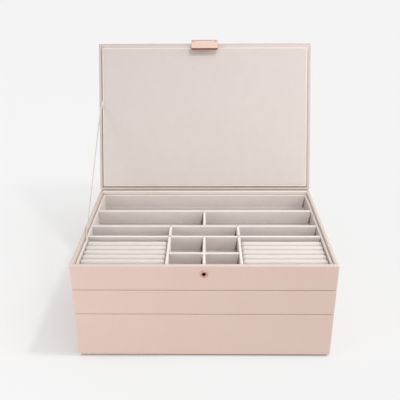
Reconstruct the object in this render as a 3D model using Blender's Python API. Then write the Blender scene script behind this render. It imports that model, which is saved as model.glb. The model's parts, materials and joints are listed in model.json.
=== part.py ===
"""Tiered jewellery box: three stacked trays, a hinged lid with a padded panel, a stay ribbon and a clasp.

Lengths are in metres. +X is the right side, -Y the front and +Z up, and the origin is the middle of the
underside. Each tray is modelled upwards from the underside of its own shell. The lid and the clasp are
modelled closed, in the frame of the joint that carries them, and two empties turn them open.
"""

import math

import bmesh
import bpy
from mathutils import Matrix, Vector

# Overall sizes
BOX_WIDTH = 0.370
BOX_DEPTH = 0.254
DEEP_TRAY_HEIGHT = 0.0723
SHALLOW_TRAY_HEIGHT = 0.0401
LID_THICKNESS = 0.013
LID_OVERHANG = 0.0015
LID_OPEN_ANGLE = math.radians(111.4)

# Boards, linings and edges
SHELL_WALL = 0.0056
SHELL_FLOOR = 0.003
SHELL_RISE = 0.0068
SHELL_ROUND = 0.0016
LINER_WALL = 0.0032
LINER_FLOOR = 0.0016
LINER_DROP = 0.005
LINER_ROUND = 0.0011
DIVIDER_THICKNESS = 0.0045
DIVIDER_ROUND_SHARE = 0.4
BASE_PROUD = 0.0024
BASE_WALL = 0.005
BASE_FLOOR = 0.003
BASE_ROUND = 0.0005

# Clearances
TOUCH_GAP = 0.0003
LINER_GAP = 0.0004
NEST_GAP = 0.0006
BORE_GAP = 0.0001
OVERRUN = 0.002

# Top tray layout, as shares of the space inside the lining
REAR_ROW_SHARE = 0.7404
SECOND_ROW_SHARE = 0.5095
THIRD_ROW_SHARE = 0.3637
RING_BAY_SHARE = 0.2986
CELL_SHARE = 0.4262

# Middle and bottom tray layout, as shares of the space inside the lining
MIDDLE_ROW_SHARE = 0.5
MIDDLE_FRONT_SHARE = 0.333
BOTTOM_ROW_SHARE = 0.5

# Ring rolls
ROLL_COUNT = 6
ROLL_DROP = 0.0075
ROLL_REAR_GAP = 0.006
ROLL_CROWN = 0.0062
ROLL_END_GAP = 0.0006
ROLL_END_ROUND = 0.0024

# Lid panel, with its section as shares of its edge rounding and of its thickness
PANEL_THICKNESS = 0.003
PANEL_EDGE = 0.0022
PANEL_CORNER = 0.003
PANEL_SECTION_SHARES = ((0.3, 0.0), (0.0, 0.35), (0.1, 0.6), (0.42, 0.76), (1.0, 0.83))
PANEL_CROWN_SHARES = ((0.1, 0.91), (0.3, 0.97), (0.62, 1.0))

# Stay ribbon
STAY_WIDTH = 0.0055
STAY_THICKNESS = 0.0006
STAY_LID_REACH = 0.156
STAY_TRAY_REACH = 0.1727
STAY_TUCK = 0.005
STAY_POCKET = 0.0012

# Hinge strip across the back
SPINE_THICKNESS = 0.0008
SPINE_INSET = 0.002
SPINE_MARGIN = 0.001
SPINE_FOLD = 0.0006

# Press socket in the front of the top tray
SOCKET_DROP = 0.0135
SOCKET_FLANGE_RADIUS = 0.0055
SOCKET_FLANGE = 0.0008
SOCKET_TUBE_RADIUS = 0.0031
SOCKET_BORE_RADIUS = 0.0024
SOCKET_TUBE_SHARE = 0.5
SOCKET_CUP_FLOOR = 0.0006

# Clasp
CLASP_WIDTH = 0.046
CLASP_FOLD_ANGLE = math.radians(48)
KNUCKLE_RADIUS = 0.0025
KNUCKLE_END = 0.006
PIN_RADIUS = 0.001
LEAF_THICKNESS = 0.0014
FLAP_THICKNESS = 0.004
FLAP_MARGIN = 0.0031
FLAP_CORNER = 0.003
FLAP_ROUND = 0.0007
CLASP_DROP = 0.0004
STUD_FLANGE_RADIUS = 0.0032
STUD_FLANGE = 0.0005
STUD_RADIUS = 0.0019
STUD_NOSE = 0.0006

# Facets
ROUND_STEPS = 2
TURN_STEPS = 24
ARC_STEPS = 9
CORNER_STEPS = 4
FOLD_STEPS = 6
SHARP_ANGLE = math.radians(35)

# Colours from the object, as sRGB, with roughness and metallic
FINISHES = {
    "leatherette": ("#E0C6BB", 0.5, 0.0),
    "velvet": ("#DED6D0", 0.95, 0.0),
    "base_paper": ("#CDB4A9", 0.8, 0.0),
    "rose_metal": ("#E8B79C", 0.25, 1.0),
    "socket_dark": ("#5A3428", 0.45, 0.6),
    "ribbon": ("#EFE6E0", 0.7, 0.0),
}

# Sizes that follow from the ones above
BOTTOM_LOW = BASE_PROUD + TOUCH_GAP
MIDDLE_LOW = BOTTOM_LOW + DEEP_TRAY_HEIGHT + TOUCH_GAP
TOP_LOW = MIDDLE_LOW + SHALLOW_TRAY_HEIGHT + TOUCH_GAP
HALF_WIDTH = BOX_WIDTH / 2
HALF_DEPTH = BOX_DEPTH / 2
SHELL_INNER_X = HALF_WIDTH - SHELL_WALL
SHELL_INNER_Y = HALF_DEPTH - SHELL_WALL
LINER_INNER_X = SHELL_INNER_X - LINER_GAP - LINER_WALL
LINER_INNER_Y = SHELL_INNER_Y - LINER_GAP - LINER_WALL
LINER_LOW = SHELL_RISE + SHELL_FLOOR + TOUCH_GAP
FLOOR_TOP = LINER_LOW + LINER_FLOOR
HINGE_OUT = TOUCH_GAP + SPINE_THICKNESS / 2
HINGE_Y = HALF_DEPTH + HINGE_OUT
HINGE_Z = SHALLOW_TRAY_HEIGHT + TOUCH_GAP
LID_FRONT = BOX_DEPTH + LID_OVERHANG + HINGE_OUT
STUD_PROUD = TOUCH_GAP + STUD_FLANGE + STUD_NOSE
SOCKET_PROUD = TOUCH_GAP + SOCKET_FLANGE
CLASP_OUT = SOCKET_PROUD + TOUCH_GAP + STUD_PROUD + FLAP_THICKNESS / 2
CLASP_Y = BOX_DEPTH + HINGE_OUT + CLASP_OUT
STUD_DROP = SOCKET_DROP + TOUCH_GAP - CLASP_DROP
FLAP_LENGTH = STUD_DROP + SOCKET_FLANGE_RADIUS + FLAP_MARGIN


# Scene helpers
def clear_scene():
    for obj in list(bpy.data.objects):
        bpy.data.objects.remove(obj, do_unlink=True)


def linear(channel):
    """One sRGB channel, 0 to 1, as scene-linear light."""
    if channel <= 0.04045:
        return channel / 12.92
    return ((channel + 0.055) / 1.055) ** 2.4


def finish_material(name):
    if name in bpy.data.materials:
        return bpy.data.materials[name]
    colour, roughness, metallic = FINISHES[name]
    channels = [linear(int(colour[i : i + 2], 16) / 255) for i in (1, 3, 5)]
    material = bpy.data.materials.new(name)
    material.use_nodes = True
    shader = material.node_tree.nodes["Principled BSDF"]
    shader.inputs["Base Color"].default_value = (*channels, 1)
    shader.inputs["Roughness"].default_value = roughness
    shader.inputs["Metallic"].default_value = metallic
    material.diffuse_color = (*channels, 1)
    return material


def add_empty(name, parent=None, location=(0, 0, 0), turn=0.0):
    empty = bpy.data.objects.new(name, None)
    empty.location = location
    empty.rotation_euler = (turn, 0, 0)
    empty.parent = parent
    bpy.context.collection.objects.link(empty)
    return empty


def add_solid(name, bm, finish, parent):
    """Turns a bmesh into an object in its parent's frame, shaded smooth between its sharp edges."""
    bmesh.ops.recalc_face_normals(bm, faces=bm.faces)
    mesh = bpy.data.meshes.new(name)
    bm.to_mesh(mesh)
    bm.free()
    mesh.materials.append(finish_material(finish))
    mesh.shade_smooth()
    mesh.set_sharp_from_angle(angle=SHARP_ANGLE)
    obj = bpy.data.objects.new(name, mesh)
    obj.parent = parent
    bpy.context.collection.objects.link(obj)
    return obj


def round_edges(obj, radius):
    """Rounds the outward sharp edges, and leaves the inward ones square for what fits inside."""
    bm = bmesh.new()
    bm.from_mesh(obj.data)
    weight = bm.edges.layers.float.new("bevel_weight_edge")
    for edge in bm.edges:
        outward = edge.is_convex and edge.calc_face_angle() > SHARP_ANGLE
        edge[weight] = 1 if outward else 0
    bm.to_mesh(obj.data)
    bm.free()
    bevel = obj.modifiers.new("rounded edges", "BEVEL")
    bevel.width = radius
    bevel.segments = ROUND_STEPS
    bevel.limit_method = "WEIGHT"


def combine(obj, tool_bm, operation):
    """Adds to or cuts from an object with a hidden tool shape in the same frame."""
    tool = add_solid(obj.name + "_tool", tool_bm, "socket_dark", obj.parent)
    tool.hide_render = True
    tool.display_type = "WIRE"
    boolean = obj.modifiers.new(operation.lower(), "BOOLEAN")
    boolean.operation = operation
    boolean.solver = "EXACT"
    boolean.object = tool


# Shape helpers
def box(low, high):
    bm = bmesh.new()
    bmesh.ops.create_cube(bm, size=1)
    low, high = Vector(low), Vector(high)
    bmesh.ops.scale(bm, verts=bm.verts, vec=high - low)
    bmesh.ops.translate(bm, verts=bm.verts, vec=(low + high) / 2)
    return bm


def hollow_out(bm, face, wall, move):
    """Insets a level face by the wall and moves what is left of it up or down into the box."""
    bmesh.ops.inset_region(bm, faces=[face], thickness=wall, use_even_offset=True)
    moved = bmesh.ops.extrude_discrete_faces(bm, faces=[face])["faces"][0]
    bmesh.ops.translate(bm, verts=moved.verts, vec=(0, 0, move))


def open_box(half_x, half_y, low, high, wall, floor):
    """A tray: a box whose top face is inset by the wall and sunk to the floor."""
    bm = box((-half_x, -half_y, low), (half_x, half_y, high))
    top = max(bm.faces, key=lambda face: face.calc_center_median().z)
    hollow_out(bm, top, wall, low + floor - high)
    return bm


def loft(rings, joined=False):
    """Skin over a row of rings of as many points each, capped at its ends unless the row joins up."""
    bm = bmesh.new()
    rows = [[bm.verts.new(point) for point in ring] for ring in rings]
    following = rows[1:] + rows[:1] if joined else rows[1:]
    for row, after in zip(rows, following):
        for i in range(len(row)):
            j = (i + 1) % len(row)
            bm.faces.new((row[i], row[j], after[j], after[i]))
    if not joined:
        bm.faces.new(rows[0])
        bm.faces.new(rows[-1])
    return bm


def turned(profile, joined=False):
    """Solid of revolution about Z from (radius, height) pairs, a tube where the profile joins up."""
    angles = [math.tau * i / TURN_STEPS for i in range(TURN_STEPS)]
    rings = [[(r * math.cos(a), r * math.sin(a), h) for a in angles] for r, h in profile]
    return loft(rings, joined)


def rod(radius, x_low, x_high):
    """A round bar along X through the frame's origin."""
    bm = turned(((radius, x_low), (radius, x_high)))
    bmesh.ops.rotate(bm, verts=bm.verts, cent=(0, 0, 0), matrix=Matrix.Rotation(math.pi / 2, 3, "Y"))
    return bm


def faced_front(bm, centre):
    """Turns a shape made about Z to point forwards, and sets it down at its centre."""
    bmesh.ops.rotate(bm, verts=bm.verts, cent=(0, 0, 0), matrix=Matrix.Rotation(math.pi / 2, 3, "X"))
    bmesh.ops.translate(bm, verts=bm.verts, vec=centre)
    return bm


def extruded_x(outline, x_low, x_high):
    """A solid of constant YZ outline between two X places."""
    return loft([[(x, y, z) for y, z in outline] for x in (x_low, x_high)])


def rounded_rectangle(half_x, half_y, radius):
    """Outline of a rectangle with round corners, anticlockwise, as (x, y) pairs."""
    points = []
    for corner in range(4):
        start = corner * math.pi / 2
        sign_x = 1 if corner in (0, 3) else -1
        sign_y = 1 if corner in (0, 1) else -1
        for i in range(CORNER_STEPS + 1):
            angle = start + i * math.pi / 2 / CORNER_STEPS
            x = sign_x * (half_x - radius) + radius * math.cos(angle)
            y = sign_y * (half_y - radius) + radius * math.sin(angle)
            points.append((x, y))
    return points


def strip_along(path, thickness, x_low, x_high):
    """A flat strip whose middle follows a YZ path, of the same thickness all along."""
    rings = []
    for i, point in enumerate(path):
        before, after = path[max(i - 1, 0)], path[min(i + 1, len(path) - 1)]
        along = (after - before).normalized()
        side = Vector((-along.y, along.x)) * thickness / 2
        upper, lower = point + side, point - side
        rings.append(((x_low, *upper), (x_high, *upper), (x_high, *lower), (x_low, *lower)))
    return loft(rings)


# Pieces that every tray has
def add_shell(name, parent, height):
    """Leatherette-covered carcass: four walls, and a floor board set in above a recess underneath."""
    bm = open_box(HALF_WIDTH, HALF_DEPTH, 0, height, SHELL_WALL, SHELL_RISE + SHELL_FLOOR)
    underside = min(bm.faces, key=lambda face: face.calc_center_median().z)
    hollow_out(bm, underside, SHELL_WALL, SHELL_RISE)
    shell = add_solid(name, bm, "leatherette", parent)
    round_edges(shell, SHELL_ROUND)
    return shell


def add_base(name, parent):
    """Shallow tray fixed in the recess, which stands proud to nest in the rim below or on the table."""
    half_x, half_y = SHELL_INNER_X - NEST_GAP, SHELL_INNER_Y - NEST_GAP
    low, high = -BASE_PROUD - TOUCH_GAP, SHELL_RISE - TOUCH_GAP
    base = add_solid(name, open_box(half_x, half_y, low, high, BASE_WALL, BASE_FLOOR), "base_paper", parent)
    round_edges(base, BASE_ROUND)


def add_liner(name, parent, height):
    """Velvet-covered lining, set down into the shell with its rim below the shell's."""
    high = height - LINER_DROP
    outer_x, outer_y = SHELL_INNER_X - LINER_GAP, SHELL_INNER_Y - LINER_GAP
    bm = open_box(outer_x, outer_y, LINER_LOW, high, LINER_WALL, LINER_FLOOR)
    liner = add_solid(name, bm, "velvet", parent)
    round_edges(liner, LINER_ROUND)
    return liner


def add_divider(name, parent, height, x_span, y_span):
    """Padded card between two places, standing on the lining's floor and level with its rim."""
    low = (x_span[0], y_span[0], FLOOR_TOP + TOUCH_GAP)
    high = (x_span[1], y_span[1], height - LINER_DROP)
    divider = add_solid(name, box(low, high), "velvet", parent)
    round_edges(divider, DIVIDER_ROUND_SHARE * DIVIDER_THICKNESS)
    return divider


def across(place):
    """Span of a divider's thickness about its middle plane."""
    return place - DIVIDER_THICKNESS / 2, place + DIVIDER_THICKNESS / 2


def between(low, high):
    """Span from one wall to the next, clear of both."""
    return low + TOUCH_GAP, high - TOUCH_GAP


def row_place(share):
    """Y of a divider that stands this share of the way back inside the lining."""
    return LINER_INNER_Y * (2 * share - 1)


# Bottom tray
def add_bottom_tray():
    tray = add_empty("bottom_tray_frame", location=(0, 0, BOTTOM_LOW))
    height = DEEP_TRAY_HEIGHT
    add_shell("bottom_shell", tray, height)
    add_base("bottom_base", tray)
    add_liner("bottom_liner", tray, height)
    whole_depth = between(-LINER_INNER_Y, LINER_INNER_Y)
    add_divider("bottom_cross_divider", tray, height, across(0), whole_depth)
    left_half = between(-LINER_INNER_X, across(0)[0])
    add_divider("bottom_long_divider", tray, height, left_half, across(row_place(BOTTOM_ROW_SHARE)))


# Middle tray
def add_middle_tray():
    tray = add_empty("middle_tray_frame", location=(0, 0, MIDDLE_LOW))
    height = SHALLOW_TRAY_HEIGHT
    add_shell("middle_shell", tray, height)
    add_base("middle_base", tray)
    add_liner("middle_liner", tray, height)
    row = across(row_place(MIDDLE_ROW_SHARE))
    front, rear = between(-LINER_INNER_Y, row[0]), between(row[1], LINER_INNER_Y)
    add_divider("middle_long_divider", tray, height, between(-LINER_INNER_X, LINER_INNER_X), row)
    add_divider("middle_rear_partition", tray, height, across(0), rear)
    for side, word in ((-1, "left"), (1, "right")):
        place = side * MIDDLE_FRONT_SHARE * LINER_INNER_X
        add_divider(f"middle_front_partition_{word}", tray, height, across(place), front)


# Top tray
def add_top_tray():
    tray = add_empty("top_tray_frame", location=(0, 0, TOP_LOW))
    height = SHALLOW_TRAY_HEIGHT
    shell = add_shell("top_shell", tray, height)
    add_base("top_base", tray)
    liner = add_liner("top_liner", tray, height)
    add_rows(tray, height)
    add_cells(tray, height)
    add_ring_rolls(tray, height)
    add_press_socket(shell, tray, height)
    add_hinge_spine(tray)
    add_stay_ribbon(liner, tray, height)


def add_rows(tray, height):
    """Three full-width dividers, and the partitions of the second and third rows."""
    rear, second, third = (across(row_place(s)) for s in (REAR_ROW_SHARE, SECOND_ROW_SHARE, THIRD_ROW_SHARE))
    whole_width = between(-LINER_INNER_X, LINER_INNER_X)
    add_divider("rear_row_divider", tray, height, whole_width, rear)
    add_divider("second_row_divider", tray, height, whole_width, second)
    add_divider("third_row_divider", tray, height, whole_width, third)
    add_divider("second_row_partition", tray, height, across(0), between(second[1], rear[0]))
    for side, word in ((-1, "left"), (1, "right")):
        bay = across(side * RING_BAY_SHARE * LINER_INNER_X)
        add_divider(f"third_row_partition_{word}", tray, height, bay, between(third[1], second[0]))
        add_divider(f"ring_bay_divider_{word}", tray, height, bay, between(-LINER_INNER_Y, third[0]))


def add_cells(tray, height):
    """Two half-lapped dividers that cross between the ring bays and make four small cells."""
    front, back = -LINER_INNER_Y, across(row_place(THIRD_ROW_SHARE))[0]
    side = across(RING_BAY_SHARE * LINER_INNER_X)[0]
    crossing = across(front + CELL_SHARE * (back - front))
    lengthwise = add_divider("cell_divider_lengthwise", tray, height, across(0), between(front, back))
    crosswise = add_divider("cell_divider_crosswise", tray, height, between(-side, side), crossing)
    middle = (FLOOR_TOP + height - LINER_DROP) / 2
    room = DIVIDER_THICKNESS / 2 + TOUCH_GAP
    reach = room + OVERRUN
    centre = (crossing[0] + crossing[1]) / 2
    upper_slot = box((-reach, centre - room, middle), (reach, centre + room, height))
    combine(lengthwise, upper_slot, "DIFFERENCE")
    lower_slot = box((-room, centre - reach, 0), (room, centre + reach, middle + TOUCH_GAP))
    combine(crosswise, lower_slot, "DIFFERENCE")


def add_ring_rolls(tray, height):
    """Two bays of padded rolls, side by side from the front of the box almost to the third row."""
    front, back = -LINER_INNER_Y, across(row_place(THIRD_ROW_SHARE))[0] - ROLL_REAR_GAP
    pitch = (back - front) / ROLL_COUNT
    inner = across(RING_BAY_SHARE * LINER_INNER_X)[1]
    for side, word in ((-1, "left"), (1, "right")):
        ends = sorted((side * inner, side * LINER_INNER_X))
        for number in range(ROLL_COUNT):
            y_span = between(front + number * pitch, front + (number + 1) * pitch)
            roll = roll_shape((ends[0] + ROLL_END_GAP, ends[1] - ROLL_END_GAP), y_span, height)
            add_solid(f"ring_roll_{word}_{number + 1}", roll, "velvet", tray)


def roll_shape(x_span, y_span, height):
    """A foam roll: upright sides under a half-round crown, drawn in towards both its ends."""
    low, top = FLOOR_TOP + TOUCH_GAP, height - ROLL_DROP
    middle, half = (y_span[0] + y_span[1]) / 2, (y_span[1] - y_span[0]) / 2
    turns = [i * math.pi / 2 / CORNER_STEPS for i in range(CORNER_STEPS + 1)]
    ends = [(ROLL_END_ROUND * (1 - math.cos(t)), ROLL_END_ROUND * (1 - math.sin(t))) for t in turns]
    stations = [(x_span[0] + along, drawn) for along, drawn in ends]
    stations += [(x_span[1] - along, drawn) for along, drawn in reversed(ends)]
    rings = []
    for x, drawn in stations:
        reach, crown = half - drawn, ROLL_CROWN - drawn
        arc = [i * math.pi / ARC_STEPS for i in range(ARC_STEPS + 1)]
        ring = [(x, middle + reach * math.cos(a), top - ROLL_CROWN + crown * math.sin(a)) for a in arc]
        rings.append(ring + [(x, middle - reach, low), (x, middle + reach, low)])
    return loft(rings)


def add_press_socket(shell, tray, height):
    """Eyelet with a rounded flange outside the front wall, and the cup behind it in the same hole."""
    centre = Vector((0, -HALF_DEPTH, height - SOCKET_DROP))
    hole_radius = SOCKET_TUBE_RADIUS + TOUCH_GAP
    hole = turned(((hole_radius, -SHELL_WALL - OVERRUN), (hole_radius, OVERRUN)))
    combine(shell, faced_front(hole, centre), "DIFFERENCE")
    tube_end = -SOCKET_TUBE_SHARE * SHELL_WALL
    crown = SOCKET_PROUD - SOCKET_FLANGE / 4
    mid_radius = (SOCKET_FLANGE_RADIUS + SOCKET_BORE_RADIUS) / 2
    eyelet = (
        (SOCKET_BORE_RADIUS, tube_end),
        (SOCKET_TUBE_RADIUS, tube_end),
        (SOCKET_TUBE_RADIUS, TOUCH_GAP),
        (SOCKET_FLANGE_RADIUS, TOUCH_GAP),
        (SOCKET_FLANGE_RADIUS, TOUCH_GAP + SOCKET_FLANGE / 4),
        ((mid_radius + SOCKET_FLANGE_RADIUS) / 2, crown),
        (mid_radius, SOCKET_PROUD),
        ((mid_radius + SOCKET_BORE_RADIUS) / 2, crown),
        (SOCKET_BORE_RADIUS, TOUCH_GAP),
    )
    add_solid("socket_eyelet", faced_front(turned(eyelet, joined=True), centre), "rose_metal", tray)
    cup_low, cup_high = TOUCH_GAP - SHELL_WALL, tube_end - TOUCH_GAP
    cup = (
        (SOCKET_TUBE_RADIUS, cup_low),
        (SOCKET_TUBE_RADIUS, cup_high),
        (SOCKET_BORE_RADIUS, cup_high),
        (SOCKET_BORE_RADIUS, cup_low + SOCKET_CUP_FLOOR),
    )
    add_solid("socket_cup", faced_front(turned(cup), centre), "socket_dark", tray)


def add_hinge_spine(tray):
    """Flexible strip up the back of the tray, folded over the hinge line and along the end of the lid."""
    axis = Vector((HINGE_Y, HINGE_Z))
    reach = LID_THICKNESS - SPINE_MARGIN
    tangent = SPINE_FOLD * math.tan(LID_OPEN_ANGLE / 2)
    centre = axis + Vector((SPINE_FOLD, -tangent))
    lid_way = Vector((math.sin(LID_OPEN_ANGLE), math.cos(LID_OPEN_ANGLE)))
    path = [axis - Vector((0, reach))]
    for i in range(FOLD_STEPS + 1):
        turn = LID_OPEN_ANGLE * i / FOLD_STEPS
        path.append(centre + SPINE_FOLD * Vector((-math.cos(turn), math.sin(turn))))
    path.append(axis + lid_way * reach)
    half = HALF_WIDTH - SPINE_INSET
    add_solid("hinge_spine", strip_along(path, SPINE_THICKNESS, -half, half), "leatherette", tray)


def add_stay_ribbon(liner, tray, height):
    """Taut ribbon from a pocket between shell and lining to the edge of the lid's panel, on the left."""
    axis = Vector((HINGE_Y, HINGE_Z))
    lid_along = Vector((-math.cos(LID_OPEN_ANGLE), math.sin(LID_OPEN_ANGLE)))
    lid_inward = Vector((-math.sin(LID_OPEN_ANGLE), -math.cos(LID_OPEN_ANGLE)))
    rim = height - LINER_DROP
    tray_end = Vector((HINGE_Y - STAY_TRAY_REACH, rim - STAY_TUCK))
    lid_end = axis + lid_along * STAY_LID_REACH + lid_inward * TOUCH_GAP
    chord = (lid_end - tray_end).normalized()
    tray_half = Vector((STAY_WIDTH / 2 / chord.y, 0))
    lid_half = lid_along * STAY_WIDTH / 2 / abs(chord.cross(lid_along))
    outline = (tray_end - tray_half, tray_end + tray_half, lid_end - lid_half, lid_end + lid_half)
    x_high = -SHELL_INNER_X + LINER_GAP + STAY_POCKET - TOUCH_GAP
    add_solid("stay_ribbon", extruded_x(outline, x_high - STAY_THICKNESS, x_high), "ribbon", tray)
    run = chord.x / chord.y * STAY_TUCK
    pocket_low = (-SHELL_INNER_X, tray_end.x - tray_half.x - NEST_GAP, tray_end.y - NEST_GAP)
    pocket_x = -SHELL_INNER_X + LINER_GAP + STAY_POCKET
    pocket_high = (pocket_x, tray_end.x + run + tray_half.x + NEST_GAP, rim + OVERRUN)
    combine(liner, box(pocket_low, pocket_high), "DIFFERENCE")


# Lid, in the frame of its hinge, closed: -Y to the front and +Z to its outside
def add_lid():
    location = (0, HINGE_Y, TOP_LOW + HINGE_Z)
    lid = add_empty("lid_hinge_axis", location=location, turn=-LID_OPEN_ANGLE)
    board = add_solid(
        "lid_board", box((-HALF_WIDTH, -LID_FRONT, 0), (HALF_WIDTH, -HINGE_OUT, LID_THICKNESS)), "leatherette", lid
    )
    round_edges(board, SHELL_ROUND)
    add_lid_panel(lid)
    add_clasp(lid)


def add_lid_panel(lid):
    """Velvet pad inside the lid: drawn-in sides, a round edge and a slight crown, with the ribbon's notch."""
    half_x, half_y = SHELL_INNER_X - NEST_GAP, SHELL_INNER_Y - NEST_GAP
    centre_y = -HALF_DEPTH - HINGE_OUT
    section = [(PANEL_EDGE * inset, PANEL_THICKNESS * rise) for inset, rise in PANEL_SECTION_SHARES]
    section += [(half_y * inset, PANEL_THICKNESS * rise) for inset, rise in PANEL_CROWN_SHARES]
    rings = []
    for inset, rise in section:
        outline = rounded_rectangle(half_x - inset, half_y - inset, PANEL_CORNER)
        rings.append([(x, centre_y + y, -TOUCH_GAP - rise) for x, y in outline])
    panel = add_solid("lid_panel", loft(rings), "velvet", lid)
    notch_reach = STAY_WIDTH + STAY_WIDTH / 2
    notch_x = -half_x + STAY_POCKET - TOUCH_GAP
    low = (-HALF_WIDTH, -STAY_LID_REACH - notch_reach, -TOUCH_GAP - PANEL_THICKNESS - OVERRUN)
    high = (notch_x, -STAY_LID_REACH + notch_reach, OVERRUN)
    combine(panel, box(low, high), "DIFFERENCE")


# Clasp, in the frame of its pin, hanging straight down
def add_clasp(lid):
    add_clasp_leaf(lid)
    location = (0, -CLASP_Y, -CLASP_DROP)
    axis = add_empty("clasp_pin_axis", parent=lid, location=location, turn=CLASP_FOLD_ANGLE)
    half = CLASP_WIDTH / 2
    add_solid("clasp_pin", rod(PIN_RADIUS, TOUCH_GAP - half, half - TOUCH_GAP), "rose_metal", axis)
    add_clasp_flap(axis)
    add_clasp_stud(axis)


def add_clasp_leaf(lid):
    """Plate on the lid's front end, with a knuckle at each end of the clasp and the pin's bore."""
    half = CLASP_WIDTH / 2
    inner = half - KNUCKLE_END
    back = -LID_FRONT - TOUCH_GAP
    pin = Vector((0, -CLASP_Y, -CLASP_DROP))
    clear = KNUCKLE_RADIUS + TOUCH_GAP - CLASP_DROP
    plate = box((-half, back - LEAF_THICKNESS, pin.z), (half, back, LID_THICKNESS - SHELL_ROUND))
    leaf = add_solid("clasp_leaf", plate, "rose_metal", lid)
    for low, high in ((-half, -inner), (inner, half)):
        knuckle = rod(KNUCKLE_RADIUS, low, high)
        bmesh.ops.translate(knuckle, verts=knuckle.verts, vec=pin)
        combine(leaf, knuckle, "UNION")
    room = box((-inner, back - LEAF_THICKNESS - OVERRUN, pin.z - OVERRUN), (inner, back + OVERRUN, clear))
    combine(leaf, room, "DIFFERENCE")
    bore = rod(PIN_RADIUS + BORE_GAP, -half - OVERRUN, half + OVERRUN)
    bmesh.ops.translate(bore, verts=bore.verts, vec=pin)
    combine(leaf, bore, "DIFFERENCE")


def add_clasp_flap(axis):
    """Thick plate with round lower corners, hung from a middle knuckle by shoulders beside it."""
    half = CLASP_WIDTH / 2
    inner = half - KNUCKLE_END - TOUCH_GAP
    shoulder = -KNUCKLE_RADIUS - NEST_GAP
    corners = [i * math.pi / 2 / CORNER_STEPS for i in range(CORNER_STEPS + 1)]
    reach, drop = half - FLAP_CORNER, FLAP_LENGTH - FLAP_CORNER
    outline = [(inner, 0), (inner, shoulder), (half, shoulder)]
    outline += [(reach + FLAP_CORNER * math.cos(a), -drop - FLAP_CORNER * math.sin(a)) for a in corners]
    outline += [(-x, z) for x, z in reversed(outline)]
    plate = loft([[(x, y, z) for x, z in outline] for y in (-FLAP_THICKNESS / 2, FLAP_THICKNESS / 2)])
    flap = add_solid("clasp_flap", plate, "rose_metal", axis)
    round_edges(flap, FLAP_ROUND)
    combine(flap, rod(KNUCKLE_RADIUS, -inner, inner), "UNION")
    combine(flap, rod(PIN_RADIUS + BORE_GAP, -half, half), "DIFFERENCE")


def add_clasp_stud(axis):
    """Turned stud on the flap's inner face, level with the socket when the lid is shut."""
    nose_low = -TOUCH_GAP - STUD_FLANGE
    profile = (
        (STUD_FLANGE_RADIUS, -TOUCH_GAP),
        (STUD_FLANGE_RADIUS, nose_low),
        (STUD_RADIUS, nose_low),
        (STUD_RADIUS, nose_low - STUD_NOSE / 2),
        (STUD_RADIUS - STUD_NOSE / 2, nose_low - STUD_NOSE),
    )
    stud = faced_front(turned(profile), (0, FLAP_THICKNESS / 2, -STUD_DROP))
    add_solid("clasp_stud", stud, "rose_metal", axis)


clear_scene()
add_bottom_tray()
add_middle_tray()
add_top_tray()
add_lid()
bpy.context.view_layer.update()
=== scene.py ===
"""Looks of the tiered jewellery box: three stacked leatherette trays under a lid with a velvet pad inside.

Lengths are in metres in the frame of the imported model: +X right, -Y front, +Z up. The sections follow the
box as it is put together, from the trays' shells to the clasp on the lid.
"""

import json
import math
from functools import partial

import bmesh
import bpy
import numpy as np
from mathutils import Matrix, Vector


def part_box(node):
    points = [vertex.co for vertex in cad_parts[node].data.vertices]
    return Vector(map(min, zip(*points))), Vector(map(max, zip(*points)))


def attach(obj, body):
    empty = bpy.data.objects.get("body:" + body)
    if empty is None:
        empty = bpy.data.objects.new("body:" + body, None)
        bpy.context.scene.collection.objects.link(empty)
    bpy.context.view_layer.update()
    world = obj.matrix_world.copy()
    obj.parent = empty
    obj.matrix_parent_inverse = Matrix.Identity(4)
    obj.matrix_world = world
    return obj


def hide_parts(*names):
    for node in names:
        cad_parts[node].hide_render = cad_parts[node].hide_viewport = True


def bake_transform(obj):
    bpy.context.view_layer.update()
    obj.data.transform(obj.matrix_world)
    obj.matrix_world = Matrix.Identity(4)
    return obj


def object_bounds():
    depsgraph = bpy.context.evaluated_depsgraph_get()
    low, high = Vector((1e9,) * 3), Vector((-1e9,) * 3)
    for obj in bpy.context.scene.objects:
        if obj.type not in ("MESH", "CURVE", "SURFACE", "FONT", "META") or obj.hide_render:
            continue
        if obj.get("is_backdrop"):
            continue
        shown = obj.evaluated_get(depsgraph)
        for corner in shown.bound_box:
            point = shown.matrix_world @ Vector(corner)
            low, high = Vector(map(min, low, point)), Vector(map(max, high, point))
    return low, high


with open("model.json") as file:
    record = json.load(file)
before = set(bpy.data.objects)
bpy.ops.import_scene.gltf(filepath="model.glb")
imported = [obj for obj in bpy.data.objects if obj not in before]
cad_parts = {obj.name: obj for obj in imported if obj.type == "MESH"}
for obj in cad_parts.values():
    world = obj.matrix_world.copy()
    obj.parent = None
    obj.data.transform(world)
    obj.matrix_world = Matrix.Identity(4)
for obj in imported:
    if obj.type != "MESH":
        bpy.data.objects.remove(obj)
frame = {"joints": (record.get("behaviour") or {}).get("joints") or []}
cad_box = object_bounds()
scene = bpy.context.scene
MM = 0.001

# Tray shells. Each is a carcass of thin boards wrapped in one sheet of pale rose polyurethane leatherette,
# which is glued down, turned over the rim and mitred at the corners. The floor board sits above a recess.
SHELL_WALL = 5.6 * MM
SHELL_ROUND = 1.7 * MM
BOTTOM_FOOT_ROUND = 1.8 * SHELL_ROUND
SHELL_CORNER = 2.6 * MM
SHELL_INNER_CORNER = 0.5 * MM
RECESS_DEPTH = 6.8 * MM
FLOOR_BOARD = 3.0 * MM
HOLE_RADIUS = 4.0 * MM
HOLE_EDGE = 0.5 * MM
HOLE_DEPTH = 5.4 * MM
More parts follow.
